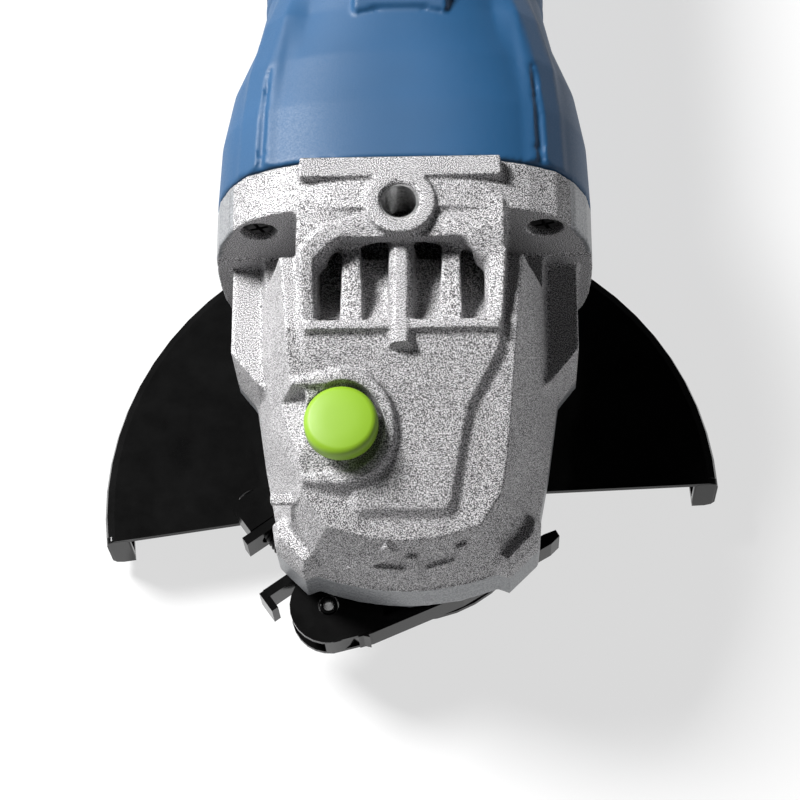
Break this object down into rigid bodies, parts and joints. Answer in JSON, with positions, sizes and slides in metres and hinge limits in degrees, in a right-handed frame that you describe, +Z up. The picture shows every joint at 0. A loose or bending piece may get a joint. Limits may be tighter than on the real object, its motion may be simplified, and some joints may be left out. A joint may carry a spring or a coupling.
{
  "type": "angle grinder",
  "caption": "Compact angle grinder with cast gear head, quick-clamp half-round guard, spindle lock button, slide switch and motor barrel; no disc or side handle fitted.",
  "frame": {"origin": "centre of the spindle's lower end face", "axes": "+Z up the spindle into the gear head, +Y back along the motor barrel, so the nose of the head faces -Y and the spindle lock button is on the -X side"},
  "size_m": [0.1368, 0.2661, 0.091],
  "materials": {
    "cast_aluminium": "bead-blasted casting with machined joint faces",
    "steel": "turned or ground steel",
    "black_steel": "glossy black paint over pressed or machined steel",
    "screw_steel": "blackened steel",
    "blue_plastic": "satin moulded nylon",
    "green_plastic": "matt moulded plastic",
    "black_plastic": "matt moulded nylon",
    "copper": "enamelled winding wire and commutator copper",
    "bronze": "bushing bronze and pressed brass",
    "laminations": "varnished stacked steel laminations",
    "carbon": "pressed carbon, stood in for by a matt dark solid"
  },
  "bodies": {
    "body": {"gear_housing": "cast_aluminium", "bearing_cover": "cast_aluminium", "flange_screw_1": "screw_steel", "flange_screw_2": "screw_steel", "flange_screw_3": "screw_steel", "flange_screw_4": "screw_steel", "cover_screw_1": "screw_steel", "cover_screw_2": "screw_steel", "cover_screw_3": "screw_steel", "cover_screw_4": "screw_steel", "spindle_bearing_outer": "steel", "spindle_bush": "bronze", "lock_spring": "steel", "motor_housing": "blue_plastic", "stator_core": "laminations", "field_coil_left": "copper", "field_coil_right": "copper", "fan_baffle": "black_plastic", "brush_holder_left": "bronze", "brush_holder_right": "bronze", "carbon_brush_left": "carbon", "carbon_brush_right": "carbon", "brush_cap_left": "black_plastic", "brush_cap_right": "black_plastic", "rotor_bearing_front_outer": "steel", "rotor_bearing_rear_outer": "steel", "rear_cover": "black_plastic", "rear_cover_screw_1": "screw_steel", "rear_cover_screw_2": "screw_steel", "cord_inlet": "black_plastic", "switch_body": "black_plastic"},
    "spindle_unit": {"spindle": "steel", "spindle_bearing_inner": "steel", "bevel_gear": "steel", "inner_flange": "black_steel"},
    "outer_nut": {"lock_nut": "black_steel"},
    "lock": {"lock_button": "green_plastic", "lock_pin": "steel"},
    "rotor": {"rotor_shaft": "steel", "bevel_pinion": "steel", "rotor_bearing_front_inner": "steel", "rotor_bearing_rear_inner": "steel", "cooling_fan": "black_plastic", "armature_winding_front": "copper", "armature_core": "laminations", "armature_winding_rear": "copper", "commutator": "copper"},
    "slider": {"switch_slider": "black_plastic", "switch_rod": "steel"},
    "guard_unit": {"guard": "black_steel", "clamp_band": "black_steel", "clamp_bolt": "steel", "clamp_nut": "black_steel", "lever_pin": "steel"},
    "lever": {"clamp_lever": "black_steel"}
  },
  "joints": [
    {"name": "rotor_spin", "type": "hinge", "parent": "body", "child": "rotor", "pos_m": [0, 0.09, 0.053], "axis": [0, 1, 0], "continuous": true},
    {"name": "spindle_spin", "type": "hinge", "parent": "body", "child": "spindle_unit", "pos_m": [0, 0, 0.03], "axis": [0, 0, 1], "continuous": true},
    {"name": "nut_travel", "type": "slide", "parent": "spindle_unit", "child": "outer_nut", "axis": [0, 0, -1], "range_m": [0, 0.016]},
    {"name": "lock_press", "type": "slide", "parent": "body", "child": "lock", "axis": [0, 0, -1], "range_m": [0, 0.0036], "stiffness_N_per_m": 800, "springref_m": -0.003, "deforming": ["lock_spring"]},
    {"name": "switch_slide", "type": "slide", "parent": "body", "child": "slider", "axis": [0, -1, 0], "range_m": [0, 0.006]},
    {"name": "guard_turn", "type": "hinge", "parent": "body", "child": "guard_unit", "pos_m": [0, 0, 0.017], "axis": [0, 0, 1], "range_deg": [-60, 120]},
    {"name": "lever_turn", "type": "hinge", "parent": "guard_unit", "child": "lever", "pos_m": [-0.01748, -0.0277, 0.0222], "axis": [0, 0, 1], "range_deg": [-110, 0]}
  ],
  "couplings": [
    {"joint": "spindle_spin", "follows": "rotor_spin", "ratio": 0.32432}
  ]
}
